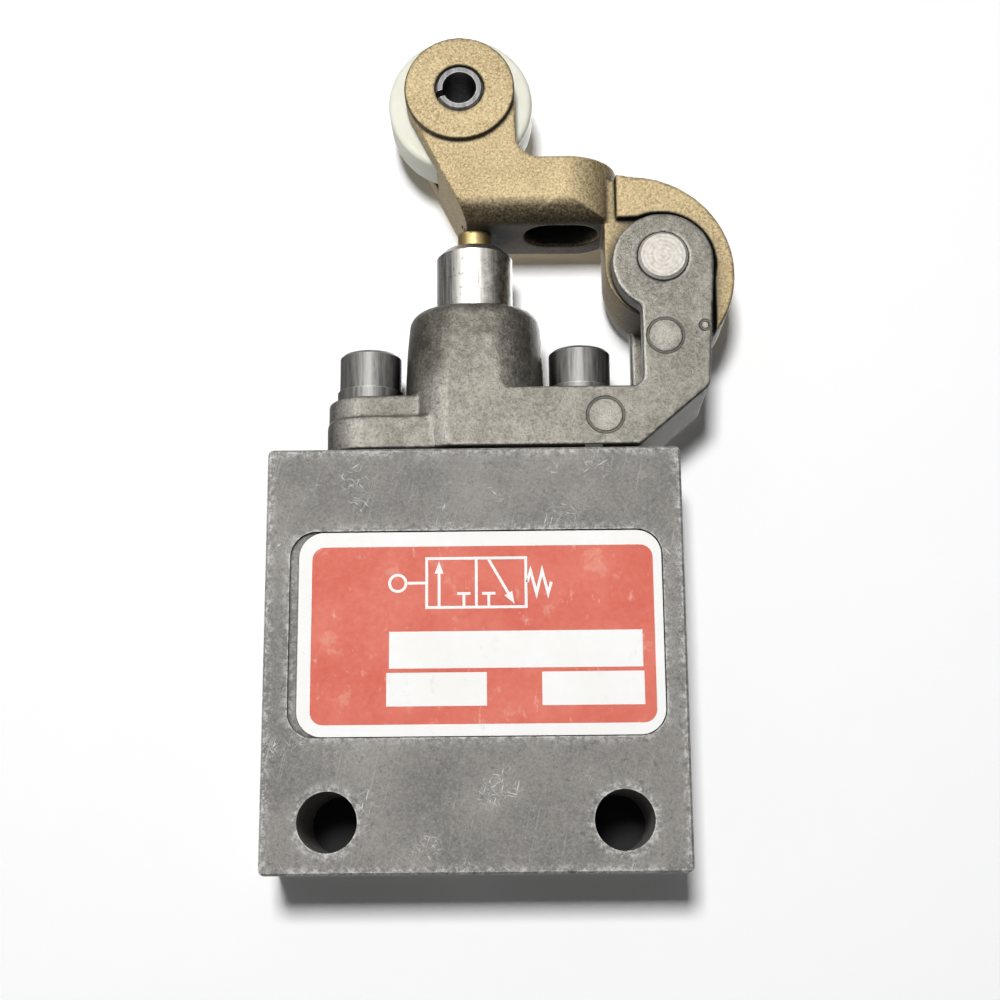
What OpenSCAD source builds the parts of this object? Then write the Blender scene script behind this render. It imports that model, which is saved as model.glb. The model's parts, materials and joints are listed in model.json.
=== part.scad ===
// Roller lever air valve: a three way spool valve in a square block, worked by a bronze roller lever.
// Millimetres. +Z runs up along the plunger and the front face looks along -Y.
// The origin is midway between the two mounting holes, on the flat rear face.

/* [Body block] */
// Width of the valve body
body_w = 50.8; // [49:0.1:64]
// Height of the valve body
body_h = 51.2; // [50:0.1:64]
// Depth of the valve body, front to back
body_d = 15.875; // [15.5:0.125:20]
// Radius of the body's four corners, seen from the front
body_corner_r = 0.8; // [0.4:0.1:3]
// Break along the edges of the body's front and rear faces
edge_break = 0.3; // [0.1:0.05:0.5]
// Distance between the two mounting holes
hole_spacing = 34.925; // [32:0.125:38]
// Diameter of the mounting holes, for a quarter inch screw
hole_d = 7.14; // [5.5:0.01:8]
// Height of the mounting holes above the bottom face
hole_rise = 6.1; // [5.5:0.05:7]

/* [Nameplate] */
// Width of the shallow recess for the nameplate
recess_w = 45.2; // [38:0.1:47]
// Distance of the recess's middle right of the plunger axis
recess_shift = 0.2; // [-0.5:0.1:0.5]
// Height of the recess
recess_h = 25; // [20:0.1:27]
// Height of the recess's lower edge above the bottom face
recess_rise = 15.85; // [13:0.05:18]
// Corner radius of the recess
recess_r = 3.2; // [2:0.1:5]
// Depth of the recess
recess_depth = 0.45; // [0.35:0.05:0.8]
// Gap between the nameplate and the recess's other edges
plate_gap = 0.15; // [0.1:0.05:0.6]
// Gap between the nameplate and the recess's left edge
plate_left_gap = 1.1; // [0.1:0.05:1.6]
// Thickness of the nameplate
plate_t = 0.25; // [0.1:0.05:0.35]

/* [Ports] */
// Thread diameter of an air port, an eighth inch pipe thread at its pitch line
port_d = 9.5; // [8.4:0.05:10.3]
// Depth of a port's threaded part
port_depth = 9.5; // [8:0.1:10.5]
// Diameter of the passage from a port to the valve bore
passage_d = 5; // [3.5:0.1:6]
// Height of the supply port above the bottom face
supply_rise = 18; // [17:0.1:19]
// Distance between one port level and the next
port_step = 8; // [7:0.1:8.2]

/* [Valve bore] */
// Outside diameter of the valve sleeve
sleeve_od = 9.5; // [9:0.05:10.5]
// Diameter of the spool
spool_d = 6.35; // [5.8:0.05:6.6]
// Running clearance round the spool
spool_clearance = 0.02; // [0.01:0.005:0.05]
// Diameter of the spool's necks
neck_d = 3.6; // [3:0.1:4.4]
// Diameter of the cross holes in the sleeve
window_d = 2; // [1.4:0.1:2.2]
// Lap of a spool land over a closed window
land_lap = 0.7; // [0.5:0.05:0.9]
// Width of the seal rings round the sleeve
seal_w = 1.4; // [1:0.1:1.8]
// Depth of the seal grooves
seal_depth = 0.8; // [0.5:0.05:1]
// Diameter of the threaded end plug
plug_d = 11.1; // [10.8:0.05:12.5]
// Height of the end plug
plug_h = 6; // [5.5:0.1:7]
// Width across flats of the end plug's hex socket
plug_hex = 4.76; // [3:0.1:5.5]
// Depth of the hex socket
plug_hex_depth = 2.6; // [1.5:0.1:2.8]
// Depth of the spring pocket in the end plug
spring_pocket = 2; // [1:0.1:2.4]
// Outside diameter of the return spring
spring_od = 5.4; // [4.6:0.1:5.6]
// Wire diameter of the return spring
spring_wire = 0.6; // [0.4:0.05:0.8]
// Length of the spool's lower land
lower_land = 7.7; // [7:0.1:8.5]

/* [Head casting] */
// Depth of the head casting, front to back
head_d = 15.1; // [13:0.1:15.5]
// Depth of the head's lower ledge at the left end
ledge_d = 13.4; // [12.6:0.1:14]
// Thickness of the gasket under the head
gasket_t = 0.4; // [0.2:0.05:0.8]
// Height of the head's block above the body
block_h = 8.05; // [7.5:0.05:10]
// Height of the boss round the left screw above the body
left_boss_h = 7.75; // [7:0.05:9]
// Height of the lower ledge at the left end
ledge_h = 4.7; // [4:0.1:6.5]
// Half length of the dome's straight middle
dome_half = 1.15; // [0.3:0.05:1.6]
// Radius of the dome's widest part
dome_r = 7.9; // [7.7:0.05:9]
// Height of the dome's widest part above the body
dome_waist = 6; // [4:0.1:8]
// Radius of the dome's slightly barrelled wall
dome_barrel_r = 120; // [90:1:200]
// Height of the dome above the body
dome_h = 19.65; // [18.6:0.05:24]
// Radius of the dome's top rounding
dome_round = 1.8; // [1:0.1:2.6]
// Distance from the plunger axis to each head screw
screw_x = 13.5; // [13.2:0.1:15]
// Radius of the boss round the left screw
screw_boss_r = 5.3; // [4.9:0.1:6]
// Radius of the spot face at the left screw
left_spot_r = 4.8; // [4.5:0.05:5]
// Radius of the spot face at the right screw
right_spot_r = 4.35; // [4.3:0.05:4.6]

/* [Clevis arms] */
// Distance from the plunger axis to the lever pivot
pivot_x = 24.1; // [23.5:0.1:26]
// Height of the lever pivot above the body
pivot_rise = 25; // [24:0.1:28]
// Radius of the arms' round heads
arm_head_r = 6.5; // [5.6:0.1:6.8]
// Distance of the round heads' middle below the pivot
arm_head_drop = 0.65; // [0:0.05:0.8]
// Width of the arms' necks at the foot
arm_neck = 8.3; // [7.5:0.1:9.5]
// How much wider the rear arm's neck is
rear_neck_extra = 0.6; // [0:0.1:1]
// How far the arms' right edge leans out from foot to head
arm_lean = 1.1; // [0:0.1:1.6]
// Thickness of each arm
arm_t = 3; // [2.4:0.05:4.8]
// Width of the slanted corner under the arms
slant_w = 8.9; // [6:0.1:9.2]
// Height of the slanted corner
slant_h = 7.6; // [5:0.1:7.6]
// Radius of the inner corners of the arms
arm_fillet = 1.4; // [0.8:0.1:2]
// Diameter of the round ejector marks on the front arm
mark_d = 4.8; // [3:0.1:5]
// Depth and width of the groove round an ejector mark
mark_groove = 0.2; // [0.1:0.05:0.3]

/* [Head screws] */
// Thread diameter of the head screws
screw_d = 4.8; // [4:0.1:5]
// Diameter of the screw heads
screw_head_d = 7.92; // [7:0.02:8.2]
// Height of the screw heads
screw_head_h = 4.95; // [4:0.01:5.2]
// Length of the screws under the head
screw_len = 19.05; // [16:0.05:20]
// Width across flats of the screws' hex sockets
screw_hex = 3.97; // [3:0.01:4.2]
// Outside diameter of the split lock washers
washer_d = 8.5; // [8:0.05:8.6]
// Thickness of the lock washers
washer_t = 1.55; // [0.8:0.05:1.8]

/* [Plunger] */
// Diameter of the plunger
plunger_d = 9.9; // [9.2:0.05:10.1]
// Height of the plunger's top above the body at rest
plunger_rise = 28.45; // [27:0.05:30]
// Chamfer round the plunger's top
plunger_chamfer = 0.95; // [0.4:0.05:1.6]
// Diameter of the collar that stops the plunger under its bush
collar_d = 12; // [11.6:0.05:12.3]
// Height of the collar
collar_h = 2.4; // [1.5:0.1:3]
// Diameter of the cavity round the collar
cavity_d = 12.6; // [12.4:0.05:13]
// Height of the plunger bush's lower end above the body
bush_rise = 9.4; // [9.2:0.1:11]
// Wall of the plunger bush
bush_wall = 0.75; // [0.5:0.05:0.85]
// Height of the wiper seal at the top of the bush
wiper_h = 1.9; // [1.2:0.1:2.4]
// Width of the wiper seal's ring
wiper_wall = 1.15; // [1:0.05:1.25]
// Thickness of the lip over the wiper seal
wiper_lip = 1.1; // [0.8:0.05:1.5]

/* [Lever] */
// Distance of the roller's axis left of the plunger axis
roller_shift = 1.7; // [0:0.05:3]
// Height of the roller's axis above the pivot
roller_rise = 23.7; // [22:0.05:25]
// Diameter of the roller
roller_d = 19.05; // [17:0.05:19.5]
// Width of the roller
roller_w = 6.35; // [5.5:0.05:7]
// Side clearance of the roller in its fork
fork_gap = 0.22; // [0.1:0.02:0.3]
// Thickness of each fork cheek
cheek_t = 3.5; // [2.4:0.05:3.8]
// Height of the round pad that stands on each cheek
pad_h = 0.6; // [0.3:0.05:1]
// Radius of the pads and of the fork's round end
pad_r = 7.2; // [6:0.05:7.5]
// Height of the lever's middle part
bar_h = 8.35; // [8:0.05:10]
// Radius along the lever's lower front edge
bar_round = 3.3; // [2:0.05:4.5]
// Radius of the inner corner under the fork
fork_fillet = 3; // [2:0.1:4]
// Radius along the lever's lower rear edge
bar_rear_round = 0.8; // [0.4:0.1:2]
// Radius of the upright round boss
boss_r = 7; // [6.5:0.1:7.6]
// Distance from the plunger axis to the boss
boss_x = 11.85; // [11.2:0.05:12.4]
// Width of the oval blind hole under the boss
boss_hole_w = 9.8; // [7.5:0.1:10]
// Depth of the blind hole, front to back
boss_hole_d = 6.9; // [5:0.1:7.4]
// How far the blind hole goes up
boss_hole_depth = 6.5; // [4:0.1:7]
// Outer radius of the rim round the arms' heads
rim_r = 13.3; // [12.3:0.05:13.8]
// Depth of the rim, front to back
rim_d = 10.4; // [10:0.1:12.5]
// Clearance between the rim's pocket and the arms' heads
pocket_gap = 0.4; // [0.35:0.05:1.2]
// Radius of the web between the arms
web_r = 7.2; // [7:0.1:8.5]
// Side clearance of the web between the arms
web_gap = 0.22; // [0.1:0.02:0.3]
// Travel of the lever, in degrees
lever_swing = 7; // [5:0.5:7.5]
// Diameter of the contact button under the lever
button_d = 4.4; // [3.6:0.1:5]
// Diameter of the button's stem
button_stem_d = 3; // [2:0.1:3.4]
// Length of the button's stem
button_stem = 3.5; // [2:0.1:5]
// Height of the button under the lever
button_h = 2.45; // [1.2:0.05:3]
// Radius of the button's round end
button_round = 6; // [4:0.1:8]

/* [Pins] */
// Diameter of the pivot pin and of the roller pin
pin_d = 6.35; // [5.5:0.05:6.4]
// How far the pins stand out at each end
pin_proud = 0.4; // [0.1:0.05:0.8]
// Running clearance of the lever and the roller on their pins
pin_clearance = 0.05; // [0.02:0.01:0.08]
// Chamfer at the ends of the pins
pin_chamfer = 0.35; // [0.2:0.05:0.6]
// Wall of the hollow roller pin
roller_pin_wall = 0.95; // [0.7:0.05:1.3]
// Width of the slot along the roller pin
roller_pin_slot = 0.9; // [0.5:0.1:1.4]

/* [Hidden] */
$fn = 72;
fit = 0.01;
cut = 1;
button_gap = 0.03;
bolt_play = 0.2;
bush_clearance = 0.05;
lip_play = 0.2;
collar_gap = 0.1;
spring_play = 0.15;
washer_play = 0.1;
washer_split = 0.8;
washer_turn = 60;
screw_chamfer = 0.35;
thread_runout = 1.5;
gasket_inset = 0.3;
tab_x = 13.7;
tab_w = 2.2;
land_setback = 2;
spool_stub = 1.2;
tail_d = 8;
mark_drop = 10.55;
mark_left = 3.5;
mark_low = 3.8;
cheek_tilt = 27;
cheek_step = 0.1;
bar_toe = 1.3;
slot_play = 0.7;
pocket_ledge = 0.35;
rim_step = 1.9;
rim_lap = 0.4;
boss_hole_back = 0.4;
rim_lean = 16;
rim_back = 3.95;
rim_drop = 1.3;
leg_gap = 0.15;
web_drop = 8.4;
roller_edge = 0.7;
pin_slot_turn = 18;
bottom_z = -hole_rise;
top_z = bottom_z + body_h;
mid_y = -body_d / 2;
front_y = -body_d;
head_z = top_z + gasket_t;
block_top = top_z + block_h;
left_boss_top = top_z + left_boss_h;
screw_seats = [[-screw_x, left_boss_top, left_spot_r], [screw_x, block_top, right_spot_r]];
pivot_z = top_z + pivot_rise;
roller_x = -roller_shift;
roller_z = pivot_z + roller_rise;
arm_y = head_d / 2;
web_t = head_d - 2 * arm_t - 2 * web_gap;
arm_right = pivot_x + arm_head_r;
foot_right = arm_right - arm_lean;
arm_left = foot_right - arm_neck;
fork_slot = roller_w + 2 * fork_gap;
bar_d = fork_slot + 2 * cheek_t;
fork_d = bar_d + 2 * pad_h;
plunger_top = top_z + plunger_rise;
bar_bottom = plunger_top + button_gap + button_h;
bar_top = bar_bottom + bar_h;
stroke = pivot_x * sin(lever_swing) + (button_round + plunger_rise - pivot_rise) * (1 - cos(lever_swing));
sleeve_bottom = bottom_z + plug_h;
supply_z = bottom_z + supply_rise;
outlet_z = supply_z + port_step;
exhaust_z = outlet_z + port_step;
port_levels = [supply_z, outlet_z, exhaust_z];
seal_levels = [for (i = [0 : 3]) supply_z + (i - 0.5) * port_step];
lower_land_top = supply_z + window_d / 2 + land_lap;
lower_land_bottom = lower_land_top - lower_land;
upper_land_bottom = exhaust_z - window_d / 2 - land_lap / 2 + stroke;
upper_land_top = top_z - land_setback;
spring_bottom = bottom_z + plug_h - spring_pocket;
spool_top = top_z + stroke + spool_stub;
tapped_depth = screw_len - (left_boss_h + washer_t) + thread_runout;
dome_top = top_z + dome_h;
dome_shoulder = dome_h - dome_round;
dome_neck_r = dome_r - dome_barrel_r + sqrt(pow(dome_barrel_r, 2) - pow(dome_shoulder - dome_waist, 2));
bush_bottom = top_z + bush_rise;
wiper_top = dome_top - wiper_lip;
bush_top = wiper_top - wiper_h;
bush_id = plunger_d + 2 * bush_clearance;
rim_x = pivot_x - rim_back;
rim_z = pivot_z - rim_drop;
rim_start = boss_x + boss_r - rim_lap;
pocket_z = bar_bottom + pocket_ledge;

// Plate of a given depth from a front view outline, centred on the valve's middle plane
module plate(depth, y = mid_y) {
    translate([0, y, 0])
        rotate([90, 0, 0])
            linear_extrude(depth, center = true)
                children();
}

// Rectangle with round corners, its lower left corner at the origin
module round_rect(w, h, r) {
    translate([r, 0])
        square([w - 2 * r, h]);
    translate([0, r])
        square([w, h - 2 * r]);
    for (x = [r, w - r], y = [r, h - r])
        translate([x, y])
            circle(r);
}

// Moves its children to the plunger axis, at a height
module on_axis(z) {
    translate([0, mid_y, z])
        children();
}

// Ring about the vertical axis
module tube(od, id, h) {
    difference() {
        cylinder(d = od, h = h);
        translate([0, 0, -cut])
            cylinder(d = id, h = h + 2 * cut);
    }
}

// Cylinder along the depth of the valve, centred on its middle plane
module cross_pin(d, length) {
    translate([0, mid_y, 0])
        rotate([90, 0, 0])
            cylinder(d = d, h = length, center = true);
}

// Pin along the depth with a chamfer at both ends
module chamfered_pin(d, length, chamfer) {
    translate([0, mid_y, 0])
        rotate([90, 0, 0])
            rotate_extrude()
                polygon([[0, -length / 2], [d / 2 - chamfer, -length / 2],
                    [d / 2, -length / 2 + chamfer], [d / 2, length / 2 - chamfer],
                    [d / 2 - chamfer, length / 2], [0, length / 2]]);
}

// Port hole in a side of the body: side -1 is left and 1 is right
module port(side, z) {
    translate([side * body_w / 2, mid_y, z])
        rotate([0, -side * 90, 0]) {
            translate([0, 0, -cut])
                cylinder(d = port_d, h = port_depth + cut);
            cylinder(d = passage_d, h = body_w / 2);
        }
}

// Long wedges that break the edges of the body's front and rear faces
module body_edges() {
    side = edge_break * sqrt(2);
    for (y = [front_y, 0]) {
        for (z = [bottom_z, top_z])
            translate([0, y, z])
                rotate([45, 0, 0])
                    cube([body_w + 2 * cut, side, side], center = true);
        for (x = [-body_w / 2, body_w / 2])
            translate([x, y, bottom_z + body_h / 2])
                rotate([0, 0, 45])
                    cube([side, side, body_h + 2 * cut], center = true);
    }
}

module valve_body() {
    color([0.53, 0.52, 0.51])
    difference() {
        plate(body_d)
            translate([-body_w / 2, bottom_z])
                round_rect(body_w, body_h, body_corner_r);
        body_edges();
        plate(2 * recess_depth, front_y)
            translate([recess_shift - recess_w / 2, bottom_z + recess_rise])
                round_rect(recess_w, recess_h, recess_r);
        for (side = [-1, 1]) {
            translate([side * hole_spacing / 2, 0, 0])
                cross_pin(hole_d, body_d + 2 * cut);
            on_axis(top_z - tapped_depth)
                translate([side * screw_x, 0, 0])
                    cylinder(d = screw_d + 2 * fit, h = tapped_depth + cut);
        }
        on_axis(bottom_z - cut)
            cylinder(d = sleeve_od + 2 * fit, h = body_h + 2 * cut);
        on_axis(bottom_z - cut)
            cylinder(d = plug_d + 2 * fit, h = plug_h + cut);
        port(-1, supply_z);
        port(1, outlet_z);
        port(-1, exhaust_z);
    }
}

module nameplate() {
    color([0.86, 0.36, 0.33])
    plate(plate_t, front_y + recess_depth - plate_t / 2)
        translate([recess_shift - recess_w / 2 + plate_left_gap, bottom_z + recess_rise + plate_gap])
            round_rect(recess_w - plate_left_gap - plate_gap, recess_h - 2 * plate_gap, recess_r - plate_gap);
}

module end_plug() {
    color([0.62, 0.62, 0.64])
    on_axis(bottom_z)
        difference() {
            cylinder(d = plug_d, h = plug_h);
            translate([0, 0, -cut])
                cylinder(d = plug_hex / cos(30), h = plug_hex_depth + cut, $fn = 6);
            translate([0, 0, plug_h - spring_pocket])
                cylinder(d = spring_od + 2 * spring_play, h = spring_pocket + cut);
            translate([0, 0, plug_h - spring_pocket - seal_w / 2])
                tube(plug_d + cut, plug_d - 2 * seal_depth, seal_w);
        }
}

module end_plug_seal() {
    color([0.1, 0.1, 0.1])
    on_axis(bottom_z + plug_h - spring_pocket - seal_w / 2 + fit)
        tube(plug_d, plug_d - 2 * (seal_depth - fit), seal_w - 2 * fit);
}

module valve_sleeve() {
    color([0.74, 0.74, 0.76])
    difference() {
        on_axis(sleeve_bottom)
            tube(sleeve_od, spool_d + 2 * spool_clearance, top_z - sleeve_bottom);
        for (z = port_levels) {
            on_axis(z - passage_d / 2)
                tube(sleeve_od + cut, sleeve_od - seal_depth, passage_d);
            for (turn = [0, 90])
                on_axis(z)
                    rotate([90, 0, turn])
                        cylinder(d = window_d, h = sleeve_od + 2 * cut, center = true);
        }
        for (z = seal_levels)
            on_axis(z - seal_w / 2)
                tube(sleeve_od + cut, sleeve_od - 2 * seal_depth, seal_w);
    }
}

module sleeve_seals() {
    color([0.12, 0.12, 0.12])
    for (z = seal_levels)
        on_axis(z - seal_w / 2 + fit)
            tube(sleeve_od, sleeve_od - 2 * (seal_depth - fit), seal_w - 2 * fit);
}

module spool() {
    color([0.78, 0.78, 0.8])
    on_axis(0)
        rotate_extrude()
            polygon([[0, lower_land_bottom], [spool_d / 2, lower_land_bottom],
                [spool_d / 2, lower_land_top], [neck_d / 2, lower_land_top],
                [neck_d / 2, upper_land_bottom], [spool_d / 2, upper_land_bottom],
                [spool_d / 2, upper_land_top], [neck_d / 2, upper_land_top],
                [neck_d / 2, spool_top], [0, spool_top]]);
}

// Centre of the spring's wire at an angle, and one ring of wire round it
spring_turns = 6;
spring_steps = 16;
wire_sides = 8;
spring_r = (spring_od - spring_wire) / 2;
spring_climb = lower_land_bottom - spring_bottom - spring_wire;
function wire_ring(turn) = [for (i = [0 : wire_sides - 1])
    let (a = 360 * turn, b = 360 * i / wire_sides, r = spring_r + spring_wire / 2 * cos(b))
    [r * cos(a), r * sin(a), spring_climb * turn / spring_turns + spring_wire / 2 * sin(b)]];

module return_spring() {
    rings = spring_turns * spring_steps;
    points = [for (k = [0 : rings]) each wire_ring(k / spring_steps)];
    skin = [for (k = [0 : rings - 1], i = [0 : wire_sides - 1])
        let (j = (i + 1) % wire_sides, low = k * wire_sides, high = low + wire_sides)
        [low + i, high + i, high + j, low + j]];
    start = [[for (i = [0 : wire_sides - 1]) i]];
    end = [[for (i = [wire_sides - 1 : -1 : 0]) rings * wire_sides + i]];
    color([0.7, 0.7, 0.72])
    on_axis(spring_bottom + spring_wire / 2)
        polyhedron(points, concat(start, skin, end), convexity = 10);
}

// Plan of the head's foot, with a round left end
module foot_plan(inset = 0) {
    foot_r = screw_boss_r - inset;
    half_d = ledge_d / 2 - inset;
    translate([-screw_x, 0])
        circle(foot_r);
    for (side = [-1, 1])
        translate([-screw_x, side * (half_d - foot_r)])
            circle(foot_r);
    translate([-screw_x - foot_r, -(half_d - foot_r)])
        square([foot_r, 2 * (half_d - foot_r)]);
    translate([-screw_x, -half_d])
        square([screw_x + foot_right - slant_w - inset, 2 * half_d]);
}

module head_gasket() {
    color([0.2, 0.19, 0.18])
    on_axis(top_z)
        linear_extrude(gasket_t)
            difference() {
                union() {
                    foot_plan(gasket_inset);
                    translate([tab_x, -head_d / 2])
                        square([tab_w, head_d / 2]);
                }
                circle(d = cavity_d);
                for (side = [-1, 1])
                    translate([side * screw_x, 0])
                        circle(d = screw_d + 2 * bolt_play);
            }
}

// Half section of the dome, from the axis outwards: a barrelled wall with a round shoulder
module dome_section() {
    intersection() {
        translate([dome_r - dome_barrel_r, dome_waist])
            circle(dome_barrel_r, $fn = 720);
        union() {
            translate([0, gasket_t])
                square([dome_r + cut, dome_shoulder - gasket_t]);
            translate([0, gasket_t])
                square([dome_neck_r - dome_round, dome_h - gasket_t]);
            intersection() {
                translate([dome_neck_r - dome_round, dome_shoulder])
                    circle(dome_round);
                translate([0, gasket_t])
                    square([dome_r + cut, dome_h]);
            }
        }
    }
}

// Dome with a short straight middle
module dome() {
    for (side = [-1, 1])
        translate([side * dome_half, 0, 0])
            rotate([0, 0, -side * 90])
                rotate_extrude(angle = 180)
                    dome_section();
    translate([-dome_half, 0, 0])
        rotate([90, 0, 90])
            linear_extrude(2 * dome_half)
                for (side = [0, 1])
                    mirror([side, 0])
                        dome_section();
}

// Front view of the corner that is cut off under the arms
module slant_outline() {
    slope = slant_h / slant_w;
    polygon([[foot_right - slant_w - cut, head_z - cut * slope], [foot_right + cut, head_z - cut * slope],
        [foot_right + cut, head_z + slant_h + cut * slope]]);
}

// Front view of one arm above the block, with a filleted inner corner
module arm_outline(extra = 0) {
    left = arm_left - extra;
    head_mid = pivot_z - arm_head_drop;
    difference() {
        union() {
            translate([pivot_x, head_mid])
                circle(arm_head_r);
            polygon([[left, block_top - cut], [foot_right, block_top - cut], [foot_right, block_top],
                [arm_right, head_mid], [left, head_mid]]);
            translate([left - arm_fillet, block_top - cut])
                square([arm_fillet + cut, cut + arm_fillet]);
        }
        translate([left - arm_fillet, block_top + arm_fillet])
            circle(arm_fillet);
    }
}

// The head before its bores: foot, bosses, block, dome and arms, cut flat at front and rear
module head_blank() {
    intersection() {
        union() {
            on_axis(head_z)
                linear_extrude(ledge_h - gasket_t)
                    foot_plan();
            on_axis(head_z)
                translate([-screw_x, 0, 0])
                    cylinder(r = screw_boss_r, h = left_boss_top - head_z);
            on_axis(head_z)
                translate([-screw_x, -screw_boss_r, 0])
                    cube([screw_x, 2 * screw_boss_r, left_boss_top - head_z]);
            translate([0, mid_y - arm_y - cut, head_z])
                cube([foot_right, head_d + 2 * cut, block_top - head_z]);
            on_axis(top_z)
                dome();
            plate(arm_t + cut, mid_y - arm_y + (arm_t - cut) / 2)
                arm_outline();
            plate(arm_t + cut, mid_y + arm_y - (arm_t - cut) / 2)
                arm_outline(rear_neck_extra);
        }
        translate([-body_w, mid_y - arm_y, top_z])
            cube([2 * body_w, head_d, body_h]);
    }
}

module head() {
    color([0.6, 0.58, 0.55])
    difference() {
        head_blank();
        plate(head_d + 2 * cut)
            slant_outline();
        for (seat = screw_seats)
            translate([seat[0], mid_y, seat[1]]) {
                cylinder(r = seat[2], h = dome_h);
                translate([0, 0, -block_h])
                    cylinder(d = screw_d + 2 * bolt_play, h = dome_h);
            }
        on_axis(top_z)
            cylinder(d = cavity_d, h = bush_rise);
        on_axis(top_z)
            cylinder(d = bush_id + 2 * bush_wall + 2 * fit, h = bush_top - top_z);
        on_axis(bush_top)
            cylinder(d = bush_id + 2 * wiper_wall + 2 * fit, h = wiper_h);
        on_axis(top_z)
            cylinder(d = plunger_d + 2 * lip_play, h = dome_h + cut);
        translate([pivot_x, 0, pivot_z])
            cross_pin(pin_d + 2 * fit, head_d + 2 * cut);
        for (mark = [[pivot_x, pivot_z - mark_drop], [arm_left - mark_left, head_z + mark_low]])
            translate([mark[0], mid_y - arm_y - cut, mark[1]])
                rotate([-90, 0, 0])
                    tube(mark_d, mark_d - 2 * mark_groove, cut + mark_groove);
    }
}

module head_screws() {
    color([0.33, 0.33, 0.34])
    for (seat = screw_seats)
        translate([seat[0], mid_y, seat[1] + washer_t])
            difference() {
                union() {
                    cylinder(d = screw_head_d, h = screw_head_h - screw_chamfer);
                    translate([0, 0, screw_head_h - screw_chamfer])
                        cylinder(d1 = screw_head_d, d2 = screw_head_d - 2 * screw_chamfer, h = screw_chamfer);
                    translate([0, 0, -screw_len])
                        cylinder(d = screw_d, h = screw_len + cut);
                }
                translate([0, 0, screw_head_h / 2])
                    cylinder(d = screw_hex / cos(30), h = screw_head_h, $fn = 6);
            }
}

module lock_washers() {
    color([0.4, 0.4, 0.41])
    for (seat = screw_seats)
        translate([seat[0], mid_y, seat[1]])
            difference() {
                tube(washer_d, screw_d + 2 * washer_play, washer_t);
                rotate([0, 0, washer_turn])
                    translate([0, -washer_split / 2, -cut])
                        cube([washer_d, washer_split, washer_t + 2 * cut]);
            }
}

module plunger_bush() {
    color([0.72, 0.55, 0.33])
    on_axis(bush_bottom)
        tube(bush_id + 2 * bush_wall, bush_id, bush_top - bush_bottom);
}

module plunger_seal() {
    color([0.1, 0.1, 0.1])
    on_axis(bush_top)
        tube(bush_id + 2 * wiper_wall, bush_id, wiper_h);
}

module plunger() {
    collar_top = bush_bottom - collar_gap;
    color([0.8, 0.8, 0.8])
    on_axis(0)
        rotate_extrude()
            polygon([[0, spool_top], [tail_d / 2, spool_top],
                [tail_d / 2, collar_top - collar_h], [collar_d / 2, collar_top - collar_h],
                [collar_d / 2, collar_top], [plunger_d / 2, collar_top],
                [plunger_d / 2, plunger_top - plunger_chamfer],
                [plunger_d / 2 - plunger_chamfer, plunger_top], [0, plunger_top]]);
}

// Front view of the fork and the bar, out to the upright boss
module fork_outline() {
    inner_x = roller_x + pad_r + cheek_step;
    difference() {
        union() {
            translate([roller_x, roller_z])
                circle(pad_r);
            polygon([[roller_x - pad_r * cos(cheek_tilt), roller_z - pad_r * sin(cheek_tilt)],
                [-button_d / 2 + bar_toe, bar_bottom], [boss_x, bar_bottom], [boss_x, bar_top],
                [inner_x + fork_fillet, bar_top], [inner_x + fork_fillet, bar_top + fork_fillet],
                [inner_x, bar_top + fork_fillet], [roller_x + pad_r, roller_z]]);
        }
        translate([inner_x + fork_fillet, bar_top + fork_fillet])
            circle(fork_fillet);
    }
}

// Long beam over the lever's length: flat sides and top, lower edges rounded more in front than at the rear
module round_beam(depth, front_r, top) {
    half = depth / 2;
    rear_r = bar_rear_round;
    translate([-body_w, mid_y, 0])
        rotate([90, 0, 90])
            linear_extrude(2 * body_w) {
                translate([front_r - half, bar_bottom])
                    square([depth - front_r - rear_r, top - bar_bottom]);
                translate([-half, bar_bottom + front_r])
                    square([half, top - bar_bottom - front_r]);
                translate([0, bar_bottom + rear_r])
                    square([half, top - bar_bottom - rear_r]);
                translate([front_r - half, bar_bottom + front_r])
                    circle(front_r);
                translate([half - rear_r, bar_bottom + rear_r])
                    circle(rear_r);
            }
}

// Oval core of the blind hole under the boss
module boss_core() {
    end_r = boss_hole_d / 2;
    reach = boss_hole_w / 2 - end_r;
    translate([boss_x - boss_hole_back, mid_y, bar_bottom - cut])
        linear_extrude(boss_hole_depth + cut) {
            translate([-reach, -end_r])
                square([2 * reach, 2 * end_r]);
            for (side = [-1, 1])
                translate([side * reach, 0])
                    circle(end_r);
        }
}

// Front view of the rim that reaches round the arms' heads
module rim_outline() {
    difference() {
        union() {
            translate([rim_x, rim_z])
                circle(rim_r);
            polygon([[rim_start, pocket_z], [rim_start, bar_top - rim_step],
                [rim_x + rim_r * sin(rim_lean), rim_z + rim_r * cos(rim_lean)], [rim_x, pocket_z]]);
        }
        translate([pivot_x, pivot_z])
            circle(arm_head_r + pocket_gap);
        translate([rim_x - 2 * rim_r, rim_z - 2 * rim_r])
            square([2 * rim_r + rim_start - rim_x, 4 * rim_r]);
        translate([rim_x - 2 * rim_r, rim_z - 2 * rim_r])
            square([2 * rim_r + pivot_x - rim_x, 2 * rim_r + pocket_z - rim_z]);
        translate([rim_x - 2 * rim_r, rim_z - 2 * rim_r])
            square([2 * rim_r + arm_right + leg_gap - rim_x, 2 * rim_r + pivot_z - rim_z]);
    }
}

// Front view of the web between the arms
module web_outline() {
    intersection() {
        translate([rim_x, rim_z])
            circle(rim_r);
        union() {
            translate([pivot_x, pivot_z])
                circle(web_r);
            translate([pivot_x, rim_z - web_drop])
                square([rim_r, 2 * rim_r]);
            translate([pivot_x - web_r, pivot_z])
                square([web_r, rim_r]);
        }
    }
}

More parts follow.
